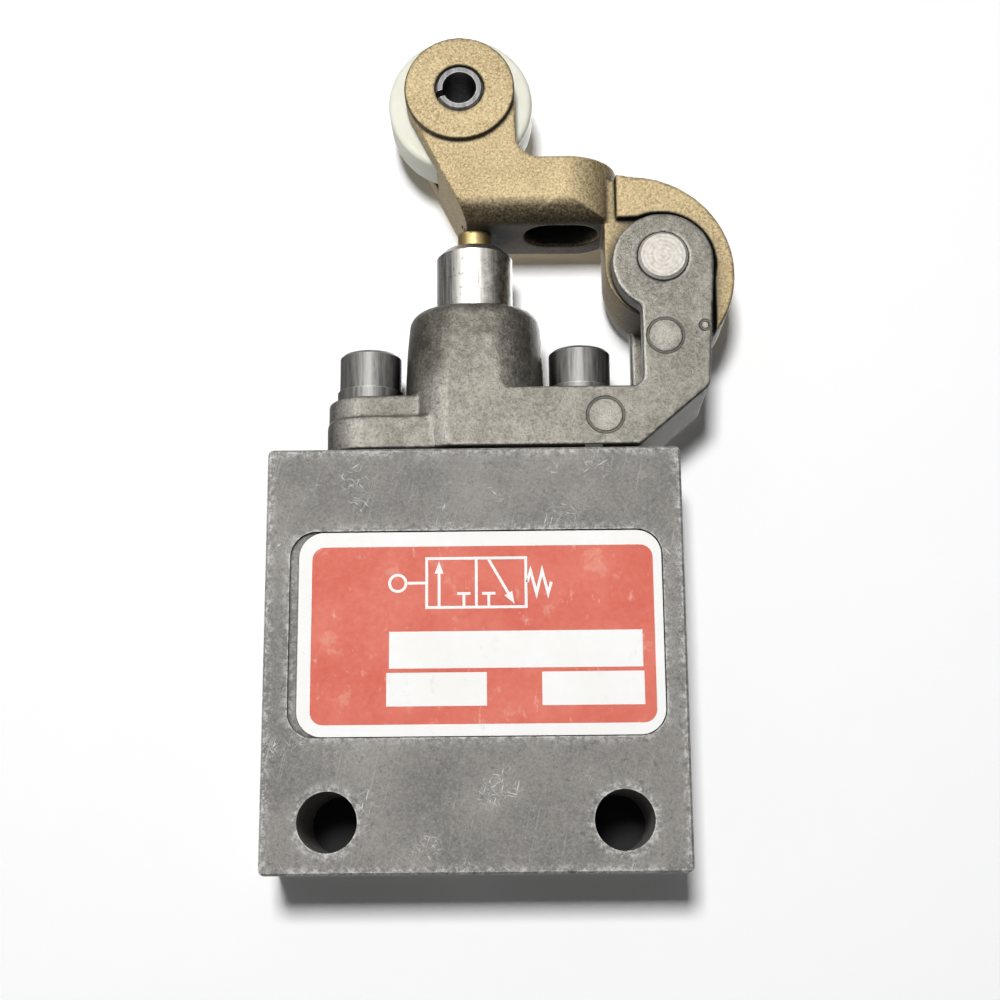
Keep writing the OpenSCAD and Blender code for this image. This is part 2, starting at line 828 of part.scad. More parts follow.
module lever() {
    color([0.72, 0.58, 0.36])
    difference() {
        union() {
            intersection() {
                plate(bar_d)
                    fork_outline();
                round_beam(bar_d, bar_round, roller_z + pad_r + cut);
            }
            intersection() {
                on_axis(bar_bottom)
                    translate([boss_x, 0, 0])
                        cylinder(r = boss_r, h = bar_h);
                round_beam(2 * boss_r + 2 * fit, bar_round + boss_r + fit - bar_d / 2, bar_top + cut);
            }
            translate([roller_x, 0, roller_z])
                cross_pin(2 * pad_r, fork_d);
            plate(rim_d)
                rim_outline();
            plate(web_t)
                web_outline();
        }
        translate([roller_x, 0, roller_z]) {
            cross_pin(roller_d + 2 * slot_play, fork_slot);
            cross_pin(pin_d + 2 * fit, fork_d + 2 * cut);
        }
        translate([pivot_x, 0, pivot_z])
            cross_pin(pin_d + 2 * pin_clearance, head_d);
        boss_core();
        on_axis(bar_bottom - cut)
            cylinder(d = button_stem_d + 2 * fit, h = button_stem + cut);
    }
}

module lever_button() {
    tip = plunger_top + button_gap;
    color([0.8, 0.67, 0.36])
    on_axis(0) {
        intersection() {
            translate([0, 0, tip])
                cylinder(d = button_d, h = button_h);
            translate([0, 0, tip + button_round])
                sphere(button_round);
        }
        translate([0, 0, tip + button_h / 2])
            cylinder(d = button_stem_d, h = button_h / 2 + button_stem);
    }
}

module pivot_pin() {
    color([0.83, 0.82, 0.8])
    translate([pivot_x, 0, pivot_z])
        chamfered_pin(pin_d, head_d + 2 * pin_proud, pin_chamfer);
}

module roller() {
    color([0.93, 0.92, 0.84])
    translate([roller_x, mid_y, roller_z])
        rotate([90, 0, 0])
            difference() {
                union() {
                    cylinder(d = roller_d, h = roller_w - 2 * roller_edge, center = true);
                    for (side = [-1, 1])
                        translate([0, 0, side * (roller_w / 2 - roller_edge)])
                            rotate_extrude()
                                translate([roller_d / 2 - roller_edge, 0])
                                    circle(roller_edge);
                    cylinder(d = roller_d - 2 * roller_edge, h = roller_w, center = true);
                }
                cylinder(d = pin_d + 2 * pin_clearance, h = roller_w + 2 * cut, center = true);
            }
}

module roller_pin() {
    color([0.35, 0.34, 0.33])
    translate([roller_x, 0, roller_z])
        difference() {
            chamfered_pin(pin_d, fork_d, pin_chamfer);
            cross_pin(pin_d - 2 * roller_pin_wall, fork_d + 2 * cut);
            rotate([0, -pin_slot_turn, 0])
                translate([-pin_d, mid_y - fork_d, -roller_pin_slot / 2])
                    cube([pin_d, 2 * fork_d, roller_pin_slot]);
        }
}

valve_body();
nameplate();
end_plug();
end_plug_seal();
valve_sleeve();
sleeve_seals();
spool();
return_spring();
head_gasket();
head();
head_screws();
lock_washers();
plunger_bush();
plunger_seal();
plunger();
lever();
lever_button();
pivot_pin();
roller();
roller_pin();
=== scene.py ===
"""Looks of a roller lever air valve: finishes, soft cast edges, nameplate print and port threads."""

import json
import math

import bpy
from mathutils import Matrix, Vector


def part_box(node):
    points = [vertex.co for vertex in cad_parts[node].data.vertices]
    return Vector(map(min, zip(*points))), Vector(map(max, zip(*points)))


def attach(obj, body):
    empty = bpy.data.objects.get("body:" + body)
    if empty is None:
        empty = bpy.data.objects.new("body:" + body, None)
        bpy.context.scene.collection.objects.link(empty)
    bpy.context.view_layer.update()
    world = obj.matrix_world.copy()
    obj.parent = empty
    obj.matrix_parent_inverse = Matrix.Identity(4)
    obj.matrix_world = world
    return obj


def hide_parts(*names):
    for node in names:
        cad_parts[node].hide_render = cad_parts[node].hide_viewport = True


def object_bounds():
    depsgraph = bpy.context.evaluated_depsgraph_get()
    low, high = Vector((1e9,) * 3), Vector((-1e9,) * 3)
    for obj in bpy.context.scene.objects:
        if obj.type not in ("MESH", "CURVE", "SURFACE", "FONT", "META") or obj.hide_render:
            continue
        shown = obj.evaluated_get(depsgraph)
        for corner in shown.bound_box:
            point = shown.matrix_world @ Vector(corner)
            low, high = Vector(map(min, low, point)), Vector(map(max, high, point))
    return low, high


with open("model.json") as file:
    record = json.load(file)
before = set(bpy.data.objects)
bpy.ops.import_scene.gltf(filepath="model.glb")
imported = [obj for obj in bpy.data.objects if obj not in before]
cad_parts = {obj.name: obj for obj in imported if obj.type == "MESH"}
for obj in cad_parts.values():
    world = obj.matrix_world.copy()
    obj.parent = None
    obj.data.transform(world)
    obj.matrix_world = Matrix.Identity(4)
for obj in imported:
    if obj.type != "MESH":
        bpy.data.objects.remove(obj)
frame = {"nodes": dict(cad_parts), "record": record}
cad_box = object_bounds()
scene = bpy.context.scene
nodes = frame["nodes"]

MM = 0.001

# Camera, fitted to the body's edges and holes: place in millimetres, angles in degrees
CAMERA_PLACE = (4.83, -206.4, -5.6)
CAMERA_PITCH = 13.023
CAMERA_YAW = 0.504
CAMERA_ROLL = -0.495
CAMERA_FOCAL_PX = 1600
FRAME_PX = 1000
SENSOR_MM = 36.0

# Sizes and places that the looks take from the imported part, in metres, but PAD_RADIUS in millimetres
PLATE_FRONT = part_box("nameplate")[0].y
JOINT = {joint["name"]: joint for joint in frame["record"]["behaviour"]["joints"]}
MOUNT = {mount["name"]: mount for mount in frame["record"]["mounts"]}
PIVOT = Vector(JOINT["lever_pivot"]["pos_m"])
ROLLER_AXIS = Vector(JOINT["roller_spin"]["pos_m"])
HEAD_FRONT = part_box("head")[0].y
LEVER_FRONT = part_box("lever")[0].y
PAD_RADIUS = (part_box("lever")[1].z - ROLLER_AXIS.z) / MM

# Round ejector marks on the head's front: their middles in metres, their radii and line in millimetres
EJECTOR_MARKS = ((PIVOT + Vector((0, 0, -10.55)) * MM, 2.25), (Vector((16.35, 0, 49.3)) * MM, 2.25),
                 (PIVOT + Vector((5.0, 0, -9.25)) * MM, 0.6))
EJECTOR_LINE = 0.22

# Painted shade line round the lever's pad, and how deep a line on a front face goes in, in millimetres
PAD_SHADE_WIDTH = 0.24
FRONT_DEPTH = 0.4

# The dome round the plunger, whose axis is at x = 0: radius, lower end and soft borders in millimetres
DOME_RADIUS = 9.6
DOME_FOOT = 53.0
DOME_FADE = 4.0
DOME_BLUR = 0.6

# Cast edges: voxel in millimetres, and rounds of smoothing
CAST_VOXEL = 0.18
HEAD_ROUNDS = 26
LEVER_ROUNDS = 8

# Print on the nameplate in millimetres: boxes as left, low, right and high, and lifts off the plate
PRINT_LINE = 0.34
PANEL = (-19.7, 11.3, 21.6, 32.8)
PANEL_CORNER = 1.55
FIELDS = ((-10.3, 17.95, 20.1, 22.4), (-10.6, 13.45, 1.4, 17.45), (8.0, 13.45, 20.2, 17.45))
PANEL_LIFT = 0.01
FIELD_LIFT = 0.02

# Stage in metres and watts: lamps have a place, a size and a power
AMBIENT = 0.1
PAPER_REACH = 1.5
PAPER_GAP = 0.0003
LAMPS = {
    "key": ((-0.04, -0.55, 0.15), 0.09, 2.95),
    "left": ((-0.45, 0.05, -0.08), 0.2, 1.1),
    "back": ((0.15, 0.4, 0.3), 0.4, 2.0),
}

# Cards that only reflections see: two ends of an upright card across and deep, its low and high edge
DARK_CARDS = {
    "flag_front": ((-0.03, -0.5), (0.03, -0.5), -0.4, 0.3),
    "flag_left": ((-0.5, -0.35), (-0.5, 0.7), -0.5, 0.5),
    "flag_right": ((0.4, -0.25), (0.4, 0.7), -0.5, 0.5),
}
BRIGHT_CARD = ((-0.45, -0.42), (-0.27, -0.52), -0.1, 0.3)
BRIGHT_LEVEL = 4.0
LOW_CARD = ((-0.5, -0.6), (0.5, 0.7), -0.4)


class Look:
    """A material under construction. Textures are laid out in millimetres of the part's own frame."""

    def __init__(self, name):
        self.material = bpy.data.materials.new(name)
        self.material.use_nodes = True
        self.tree = self.material.node_tree
        self.shader = self.tree.nodes["Principled BSDF"]
        coords = self.add("TexCoord")
        self.place = self.vector("MULTIPLY", coords.outputs["Object"], (1 / MM,) * 3)

    def add(self, kind, **settings):
        node = self.tree.nodes.new("ShaderNode" + kind)
        for key, value in settings.items():
            setattr(node, key, value)
        return node

    def feed(self, socket, value):
        """Links a socket to another node's output, or sets its plain value."""
        if isinstance(value, bpy.types.NodeSocket):
            self.tree.links.new(value, socket)
        else:
            socket.default_value = value

    def vector(self, operation, a, b):
        node = self.add("VectorMath", operation=operation)
        self.feed(node.inputs[0], a)
        self.feed(node.inputs[1], b)
        return node.outputs["Value" if operation in ("DOT_PRODUCT", "DISTANCE") else "Vector"]

    def math(self, operation, a, b=0.0):
        node = self.add("Math", operation=operation)
        self.feed(node.inputs[0], a)
        self.feed(node.inputs[1], b)
        return node.outputs[0]

    def times(self, a, b):
        return self.math("MULTIPLY", a, b)

    def highest(self, masks):
        """The largest of several masks."""
        top = masks[0]
        for mask in masks[1:]:
            top = self.math("MAXIMUM", top, mask)
        return top

    def noise(self, grain, detail=3.0, rough=0.6, stretch=(1, 1, 1)):
        """Cloudy noise whose spots are about grain millimetres wide; stretch makes streaks of them."""
        node = self.add("TexNoise")
        self.feed(node.inputs["Vector"], self.vector("MULTIPLY", self.place, stretch))
        node.inputs["Scale"].default_value = 1 / grain
        node.inputs["Detail"].default_value = detail
        node.inputs["Roughness"].default_value = rough
        return node.outputs["Fac"]

    def span(self, value, low, high):
        """Value mapped from low..high to 0..1 and clamped."""
        node = self.add("MapRange")
        self.feed(node.inputs["Value"], value)
        node.inputs["From Min"].default_value = low
        node.inputs["From Max"].default_value = high
        return node.outputs["Result"]

    def mix(self, factor, a, b):
        """Colour a where the factor is 0, and b where it is 1."""
        node = self.add("Mix", data_type="RGBA")
        self.feed(node.inputs["Factor"], factor)
        self.feed(node.inputs[6], a if isinstance(a, bpy.types.NodeSocket) else (*a, 1))
        self.feed(node.inputs[7], b if isinstance(b, bpy.types.NodeSocket) else (*b, 1))
        return node.outputs[2]

    def tint(self, colour, mask, strength, paint):
        """Colour with paint over it where the mask is 1, at a strength."""
        return self.mix(self.times(mask, strength), colour, paint)

    def edges(self, radius, low=0.02, high=0.2):
        """1 on sharp outer and inner edges, within radius millimetres of them."""
        bevel = self.add("Bevel", samples=6)
        bevel.inputs["Radius"].default_value = radius * MM
        normal = self.add("NewGeometry").outputs["Normal"]
        turn = self.math("SUBTRACT", 1.0, self.vector("DOT_PRODUCT", bevel.outputs["Normal"], normal))
        return self.span(turn, low, high)

    def crevices(self, reach, low=0.9, high=0.35):
        """1 in corners that light hardly reaches, within reach millimetres of other surfaces."""
        occlusion = self.add("AmbientOcclusion", samples=8)
        occlusion.inputs["Distance"].default_value = reach * MM
        return self.span(occlusion.outputs["AO"], low, high)

    def radius_from(self, centre):
        """Distance in millimetres from an axis along the depth of the valve, through centre in metres."""
        flat = self.vector("MULTIPLY", self.place, (1, 0, 1))
        return self.vector("DISTANCE", flat, (centre.x / MM, 0, centre.z / MM))

    def front_ring(self, centre, radius, width, front):
        """1 on a ring on a front face; centre and front in metres, radius and width in millimetres."""
        off = self.math("ABSOLUTE", self.math("SUBTRACT", self.radius_from(centre), radius))
        near = self.span(self.axis("Y"), front / MM + 2 * FRONT_DEPTH, front / MM + FRONT_DEPTH)
        return self.times(self.span(off, width, width / 3), near)

    def scratches(self, angle, length, width, low, high, seed, wave=0.0):
        """Thin strokes on the front face, turned by an angle in degrees from level; wave bends them."""
        turn = self.add("VectorRotate", rotation_type="Y_AXIS")
        self.feed(turn.inputs["Vector"], self.vector("ADD", self.place, (seed, 0, 3 * seed)))
        turn.inputs["Angle"].default_value = math.radians(angle)
        stroke = self.vector("MULTIPLY", turn.outputs["Vector"], (1 / length, 1, 1 / width))
        node = self.add("TexNoise")
        self.feed(node.inputs["Vector"], stroke)
        node.inputs["Scale"].default_value = 1
        node.inputs["Detail"].default_value = 1
        node.inputs["Distortion"].default_value = wave
        return self.span(node.outputs["Fac"], low, high)

    def facing(self, direction, low, high):
        """1 on faces that look in a direction, 0 on those that look away from it."""
        normal = self.add("NewGeometry").outputs["Normal"]
        return self.span(self.vector("DOT_PRODUCT", normal, direction), low, high)

    def axis(self, name):
        """The place along one axis, in millimetres."""
        split = self.add("SeparateXYZ")
        self.feed(split.inputs[0], self.place)
        return split.outputs[name]

    def bump(self, height, depth, strength=1.0):
        """Relief of that depth in millimetres from a 0..1 height."""
        node = self.add("Bump")
        node.inputs["Strength"].default_value = strength
        node.inputs["Distance"].default_value = depth * MM
        self.feed(node.inputs["Height"], height)
        return node.outputs["Normal"]

    def finish(self, colour, roughness, metallic=0.0, normal=None, **sockets):
        """Feeds the shader and gives the material; other sockets by name, with _ for a space."""
        self.feed(self.shader.inputs["Base Color"],
                  colour if isinstance(colour, bpy.types.NodeSocket) else (*colour, 1))
        self.feed(self.shader.inputs["Roughness"], roughness)
        self.feed(self.shader.inputs["Metallic"], metallic)
        if normal is not None:
            self.feed(self.shader.inputs["Normal"], normal)
        for name, value in sockets.items():
            self.feed(self.shader.inputs[name.replace("_", " ")], value)
        return self.material


def hairlines(look):
    """Mask of fine handling scratches in patches: each has an angle, a length and a seed."""
    strokes = [look.scratches(78, 9, 0.16, 0.64, 0.72, 4)]
    for angle, length, seed in ((-35, 4, 11), (24, 3, 23), (60, 5, 31), (-12, 3, 47), (-64, 2.5, 59)):
        strokes.append(look.scratches(angle, length, 0.13, 0.67, 0.75, seed))
    patches = look.span(look.noise(5, 3, 0.6), 0.4, 0.65)
    return look.times(look.highest(strokes), patches)


def nicks(look):
    """Mask of sparse clusters of short bent nicks: each has an angle and a seed."""
    strokes = [look.scratches(-48, 2.2, 0.16, 0.66, 0.72, 41, 0.9)]
    for angle, seed in ((30, 53), (75, 67), (-10, 79)):
        strokes.append(look.scratches(angle, 1.8, 0.15, 0.67, 0.73, seed, 0.9))
    clusters = look.span(look.noise(5.5, 2, 0.5), 0.59, 0.67)
    return look.times(look.highest(strokes), clusters)


def body_grey():
    """Dull grey block: stains, mottle, fine scratches, bright nicks, speckled edges, near black painted
    shade in its corners.
    """
    look = Look("body_grey")
    stain = look.noise(9, 5, 0.65)
    grain = look.noise(0.32, 4, 0.75)
    colour = look.mix(look.span(stain, 0.35, 0.65), (0.123, 0.117, 0.107), (0.222, 0.211, 0.194))
    colour = look.tint(colour, look.span(grain, 0.45, 0.7), 0.55, (0.36, 0.345, 0.32))
    colour = look.tint(colour, look.span(grain, 0.47, 0.3), 0.55, (0.085, 0.081, 0.075))
    pits = look.span(look.noise(0.6, 2, 0.5), 0.36, 0.28)
    colour = look.tint(colour, pits, 0.6, (0.07, 0.07, 0.068))
    fine = hairlines(look)
    colour = look.tint(colour, fine, 0.42, (0.5, 0.49, 0.47))
    colour = look.tint(colour, nicks(look), 0.85, (0.7, 0.69, 0.66))
    wear = look.span(look.noise(0.6, 4, 0.75), 0.48, 0.6)
    colour = look.tint(colour, look.edges(2.2, 0.002, 0.06), wear, (0.55, 0.54, 0.52))
    edge = look.times(look.edges(0.45), look.span(look.noise(0.9, 4, 0.7), 0.44, 0.6))
    colour = look.mix(edge, colour, (0.66, 0.65, 0.63))
    # Painted shade: corners that light hardly reaches are made near black.
    colour = look.mix(look.crevices(0.8, 0.8, 0.55), colour, (0.02, 0.019, 0.018))
    relief = look.math("ADD", grain, look.times(stain, 0.5))
    relief = look.math("SUBTRACT", relief, look.times(fine, 0.4))
    return look.finish(colour, look.span(grain, -1.3, 1.3), 0.2, look.bump(relief, 0.025, 0.7))


def dome_mask(look):
    """1 on the head's dome, fading out towards its foot."""
    across = look.span(look.math("ABSOLUTE", look.axis("X")), DOME_RADIUS + DOME_BLUR, DOME_RADIUS)
    return look.times(across, look.span(look.axis("Z"), DOME_FOOT, DOME_FOOT + DOME_FADE))


def ejector_marks(look):
    """Masks of the dark rings and of the pale discs inside them."""
    rings = [look.front_ring(middle, radius, EJECTOR_LINE, HEAD_FRONT) for middle, radius in EJECTOR_MARKS]
    discs = [look.front_ring(middle, 0.0, radius, HEAD_FRONT) for middle, radius in EJECTOR_MARKS]
    return look.highest(rings), look.highest(discs)


def cast_grey():
    """Die cast head: warm grey, grainy and patchy, brown on the dome, bright where its edges are rubbed,
    with dirt and painted shade in its corners, painted shade underneath and a painted highlight on its left
    front corners.
    """
    look = Look("cast_grey")
    stain = look.noise(4, 5, 0.7)
    grain = look.noise(0.3, 4, 0.75)
    patch = look.noise(1.2, 5, 0.78)
    colour = look.mix(look.span(stain, 0.32, 0.68), (0.072, 0.067, 0.055), (0.152, 0.143, 0.12))
    colour = look.tint(colour, look.span(patch, 0.5, 0.68), 0.45, (0.25, 0.237, 0.207))
    colour = look.tint(colour, look.span(grain, 0.42, 0.75), 0.55, (0.27, 0.254, 0.22))
    colour = look.tint(colour, look.span(patch, 0.47, 0.33), 0.6, (0.055, 0.049, 0.04))
    colour = look.tint(colour, look.span(grain, 0.46, 0.3), 0.6, (0.06, 0.055, 0.047))
    dome = dome_mask(look)
    brown = look.times(dome, look.span(look.noise(2.4, 5, 0.7), 0.62, 0.36))
    colour = look.tint(colour, brown, 0.5, (0.058, 0.048, 0.036))
    below = look.math("SUBTRACT", 1.0, dome)
    # Painted highlight: faces below the dome that look left and to the front, such as the block's rounded
    # corner, are made lighter, as a light on the left front would.
    corner = look.times(look.facing((-0.5, -0.87, 0), 0.88, 1.0), below)
    corner = look.times(corner, look.span(grain, 0.1, 0.7))
    colour = look.tint(colour, corner, 0.6, (0.5, 0.48, 0.43))
    pits = look.span(look.noise(0.5, 3, 0.6), 0.4, 0.3)
    colour = look.tint(colour, pits, 0.7, (0.045, 0.04, 0.034))
    # Partly dirt, partly painted shade: corners that light hardly reaches are darkened, broken up by the
    # grain.
    dirt_and_shade = look.times(look.crevices(3), look.span(grain, 0.9, 0.2))
    colour = look.mix(dirt_and_shade, colour, (0.04, 0.036, 0.031))
    # Painted shade: faces that look down are made darker.
    colour = look.tint(colour, look.facing((0, 0, -1), 0.2, 0.85), 0.6, (0.07, 0.065, 0.06))
    rubbed = look.times(look.edges(0.9, 0.01, 0.15), look.span(look.noise(1.1, 4, 0.7), 0.42, 0.58))
    colour = look.tint(colour, rubbed, 0.75, (0.55, 0.53, 0.48))
    rings, discs = ejector_marks(look)
    colour = look.tint(colour, discs, 0.25, (0.4, 0.385, 0.345))
    colour = look.tint(colour, rings, 0.6, (0.045, 0.041, 0.035))
    relief = look.math("ADD", grain, look.times(patch, 1.2))
    relief = look.math("SUBTRACT", relief, look.times(rings, 2.0))
    return look.finish(colour, look.span(grain, -0.35, 1.6), 0.75, look.bump(relief, 0.06, 0.9))


def bronze():
    """Sand cast bronze: golden, coarse grain, brown in its corners; painted shade along its edges, round
    its pad, underneath and in its holes, and a painted pale sheen on its flat undersides.
    """
    look = Look("bronze")
    stain = look.noise(6, 5, 0.6)
    grain = look.noise(0.33, 3, 0.8)
    colour = look.mix(look.span(stain, 0.3, 0.7), (0.232, 0.171, 0.083), (0.33, 0.258, 0.137))
    colour = look.tint(colour, look.span(grain, 0.45, 0.7), 0.85, (0.6, 0.5, 0.312))
    colour = look.tint(colour, look.span(grain, 0.47, 0.3), 0.8, (0.105, 0.07, 0.032))
    cloud = look.span(look.noise(1.4, 4, 0.7), 0.5, 0.7)
    colour = look.tint(colour, cloud, 0.3, (0.25, 0.175, 0.08))
    # Painted shade: dark brown lines along the sharp edges.
    colour = look.tint(colour, look.edges(0.5, 0.03, 0.25), 0.6, (0.07, 0.045, 0.02))
    colour = look.tint(colour, look.crevices(4), 0.75, (0.04, 0.026, 0.013))
    # Painted shade: a dark line round the pad on the lever's front.
    outline = look.front_ring(ROLLER_AXIS, PAD_RADIUS, PAD_SHADE_WIDTH, LEVER_FRONT)
    colour = look.tint(colour, outline, 0.9, (0.035, 0.024, 0.014))
    # Painted shade: faces that look down, except those that also look left, are made near black, broken up
    # by the grain.
    lower = look.times(look.facing((0, 0, -1), 0.05, 0.55), look.span(grain, 1.3, 0.3))
    lower = look.times(lower, look.facing((-1, 0, 0), 0.8, 0.5))
    colour = look.tint(colour, lower, 0.97, (0.03, 0.021, 0.012))
    # Painted sheen: faces that look straight down are lifted to a pale grey, patchy with the stains, as if
    # lit from below.
    flat = look.times(look.facing((0, 0, -1), 0.95, 0.995), look.span(stain, 0.3, 0.7))
    colour = look.tint(colour, flat, 0.7, (0.24, 0.21, 0.18))
    # Painted shade: near black deep in the holes and other hollows that light hardly reaches.
    colour = look.mix(look.crevices(9, 0.78, 0.5), colour, (0.002, 0.002, 0.002))
    relief = look.math("ADD", grain, look.times(look.noise(0.9, 3), 0.8))
    return look.finish(colour, look.span(grain, -0.7, 1.4), 0.6, look.bump(relief, 0.06, 0.85))


def dark_steel():
    """Black oxide steel, with streaks along the screw, worn edges and near black painted shade in its
    corners.
    """
    look = Look("dark_steel")
    streak = look.noise(0.5, 4, 0.7, (1, 1, 0.08))
    grain = look.noise(0.2, 2)
    colour = look.mix(look.span(streak, 0.3, 0.75), (0.07, 0.069, 0.066), (0.24, 0.235, 0.225))
    colour = look.tint(colour, look.edges(0.25), 0.6, (0.42, 0.42, 0.41))
    # Painted shade: near black in the hollows that light hardly reaches.
    colour = look.mix(look.crevices(8, 0.5, 0.25), colour, (0.002, 0.002, 0.002))
    return look.finish(colour, look.span(streak, -0.6, 1.6), 0.9, look.bump(grain, 0.015, 0.6))


def stainless():
    """Ground steel with fine upright scratches, small dark pits, and brown rust spots with painted shade on
    its right.
    """
    look = Look("stainless")
    streak = look.noise(0.3, 4, 0.75, (1, 1, 0.05))
    pits = look.span(look.noise(0.4, 3, 0.6), 0.42, 0.3)
    colour = look.mix(look.span(streak, 0.3, 0.7), (0.36, 0.349, 0.324), (0.61, 0.592, 0.552))
    colour = look.tint(colour, pits, 0.7, (0.14, 0.128, 0.11))
    rust = look.span(look.noise(0.8, 5, 0.75), 0.34, 0.6)
    # Partly rust, partly painted shade: brown spots only on faces that look right, the side turned from the
    # lamps.
    right = look.times(look.facing((1, 0, 0), -0.1, 0.6), rust)
    colour = look.tint(colour, right, 0.85, (0.12, 0.105, 0.085))
    return look.finish(colour, look.span(streak, -0.5, 2.0), 1.0, look.bump(streak, 0.008, 0.6))


def plain_steel():
    """Plain zinc plated steel of the plug and the spring."""
    look = Look("plain_steel")
    grain = look.noise(0.4, 4, 0.7)
    colour = look.mix(grain, (0.36, 0.36, 0.37), (0.62, 0.62, 0.62))
    return look.finish(colour, look.span(grain, -0.2, 1.6), 1.0, look.bump(grain, 0.01, 0.5))


def pale_steel():
    """Ground pin end with faint turning rings about its axis."""
    look = Look("pale_steel")
    radius = look.radius_from(PIVOT)
    wobble = look.math("ADD", radius, look.times(look.noise(1.5, 3), 0.25))
    rings = look.math("SINE", look.times(wobble, 2 * math.pi / 0.55))
    grain = look.noise(0.3, 4, 0.7)
    tone = look.math("ADD", look.times(rings, 0.07), look.noise(0.5, 5, 0.75))
    colour = look.mix(look.span(tone, 0.3, 0.7), (0.33, 0.306, 0.275), (0.53, 0.502, 0.458))
    return look.finish(colour, look.span(grain, -0.9, 1.4), 0.45, look.bump(tone, 0.02, 0.8))


def yellow_brass():
    """Turned brass of the contact button."""
    look = Look("yellow_brass")
    grain = look.noise(0.25, 4, 0.7)
    colour = look.mix(grain, (0.3, 0.22, 0.085), (0.55, 0.43, 0.21))
    return look.finish(colour, look.span(grain, -0.6, 1.9), 1.0, look.bump(grain, 0.008, 0.5))


def ivory_nylon():
    """Moulded nylon: slightly see-through, with faint turning marks and smudges."""
    look = Look("ivory_nylon")
    smudge = look.noise(3, 4, 0.6)
    radius = look.radius_from(ROLLER_AXIS)
    rings = look.math("SINE", look.times(radius, 2 * math.pi / 0.7))
    colour = look.mix(look.span(smudge, 0.3, 0.75), (0.74, 0.735, 0.645), (0.69, 0.68, 0.572))
    relief = look.math("ADD", look.times(rings, 0.3), smudge)
    return look.finish(colour, look.span(smudge, -0.6, 1.6), 0.0, look.bump(relief, 0.01, 0.5),
                       Subsurface_Weight=0.35, Subsurface_Scale=0.002,
                       Subsurface_Radius=(1.0, 0.8, 0.5))


def black_rubber():
    """Matt black seal rubber with a faint bloom."""
    look = Look("black_rubber")
    bloom = look.noise(1.2, 4, 0.7)
    colour = look.mix(look.span(bloom, 0.4, 0.8), (0.012, 0.012, 0.012), (0.035, 0.034, 0.033))
    return look.finish(colour, look.span(bloom, -0.8, 1.0), 0.0, look.bump(bloom, 0.01, 0.5))


def label_film(name, deep, faded, scuff):
    """Printed film: an even tone with fading, fine grain, pale scuffs and worn patches."""
    look = Look(name)
    fade = look.noise(7, 4, 0.6)
    colour = look.mix(look.span(fade, 0.35, 0.7), deep, faded)
    rub = look.span(look.noise(1.6, 5, 0.7, (1, 1, 0.45)), 0.62, 0.72)
    colour = look.tint(colour, rub, 0.6, scuff)
    peel = look.span(look.noise(3.4, 5, 0.65), 0.6, 0.66)
    colour = look.tint(colour, peel, 0.22, scuff)
    grain = look.noise(0.5, 3, 0.6)
    return look.finish(colour, look.span(grain, -1.2, 1.3), 0.0, look.bump(fade, 0.02, 0.4))


def finishes():
    """Every material slot of the record with its material."""
    return {
        "body_grey": body_grey(),
        "cast_grey": cast_grey(),
        "bronze": bronze(),
        "dark_steel": dark_steel(),
        "stainless": stainless(),
        "plain_steel": plain_steel(),
        "pale_steel": pale_steel(),
        "yellow_brass": yellow_brass(),
        "ivory_nylon": ivory_nylon(),
        "black_rubber": black_rubber(),
        "label_red": label_film("label_red", (0.62, 0.108, 0.066), (0.7, 0.168, 0.112), (0.84, 0.5, 0.4)),
        "label_white": label_film("label_white", (0.86, 0.855, 0.83), (0.9, 0.895, 0.88),
                                  (0.72, 0.7, 0.66)),
    }


def paint(piece, material):
    piece.data.materials.clear()
    piece.data.materials.append(material)


def link(name, mesh):
    piece = bpy.data.objects.new(name, mesh)
    scene.collection.objects.link(piece)
    return piece


def smooth_shade(mesh):
    for polygon in mesh.polygons:
        polygon.use_smooth = True


def soft_casting(node, name, body, rounds, material):
    """Copy of a cast node whose edges are melted round, as a mould leaves them. It stands for the node."""
    piece = link(name, nodes[node].data.copy())
    weld = piece.modifiers.new("weld", "WELD")
    weld.merge_threshold = 0.001 * MM
    remesh = piece.modifiers.new("remesh", "REMESH")
    remesh.mode = "VOXEL"
    remesh.voxel_size = CAST_VOXEL * MM
    smooth = piece.modifiers.new("smooth", "SMOOTH")
    smooth.factor = 0.5
    smooth.iterations = rounds
    thin = piece.modifiers.new("thin", "DECIMATE")
    thin.decimate_type = "DISSOLVE"
    thin.angle_limit = math.radians(0.6)
    shaped = piece.evaluated_get(bpy.context.evaluated_depsgraph_get())
    piece.data = bpy.data.meshes.new_from_object(shaped)
    piece.modifiers.clear()
    smooth_shade(piece.data)
    paint(piece, material)
    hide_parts(node)
    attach(piece, body)
    return piece


def box_outline(left, low, right, high, radius=0.0, steps=8):
    """Rectangle with round corners, counter-clockwise from the lower right corner."""
    if not radius:
        return [(left, low), (right, low), (right, high), (left, high)]
    points = []
    corners = ((right - radius, low + radius, -90), (right - radius, high - radius, 0),
               (left + radius, high - radius, 90), (left + radius, low + radius, 180))
    for x, z, start in corners:
        for step in range(steps + 1):
            angle = math.radians(start + 90 * step / steps)
            points.append((x + radius * math.cos(angle), z + radius * math.sin(angle)))
    return points


def ribbon(*points, closed=False):
    """Printed line through a row of points, with mitred corners, as one quad for each stretch."""
    half = PRINT_LINE / 2
    spots = [Vector(point) for point in points]
    count = len(spots)
    stretches = count if closed else count - 1
    normals = []
    for i in range(stretches):
        along = (spots[(i + 1) % count] - spots[i]).normalized()
        normals.append(Vector((-along.y, along.x)))
    sides = []
    for i in range(count):
        before = normals[i - 1] if closed or i else normals[0]
        after = normals[i] if i < stretches else normals[-1]
        mitre = (before + after) * half / (1 + before.dot(after))
        sides.append((tuple(spots[i] - mitre), tuple(spots[i] + mitre)))
    quads = []
    for i in range(stretches):
        (right, left), (next_right, next_left) = sides[i], sides[(i + 1) % count]
        quads.append([right, next_right, next_left, left])
    return quads


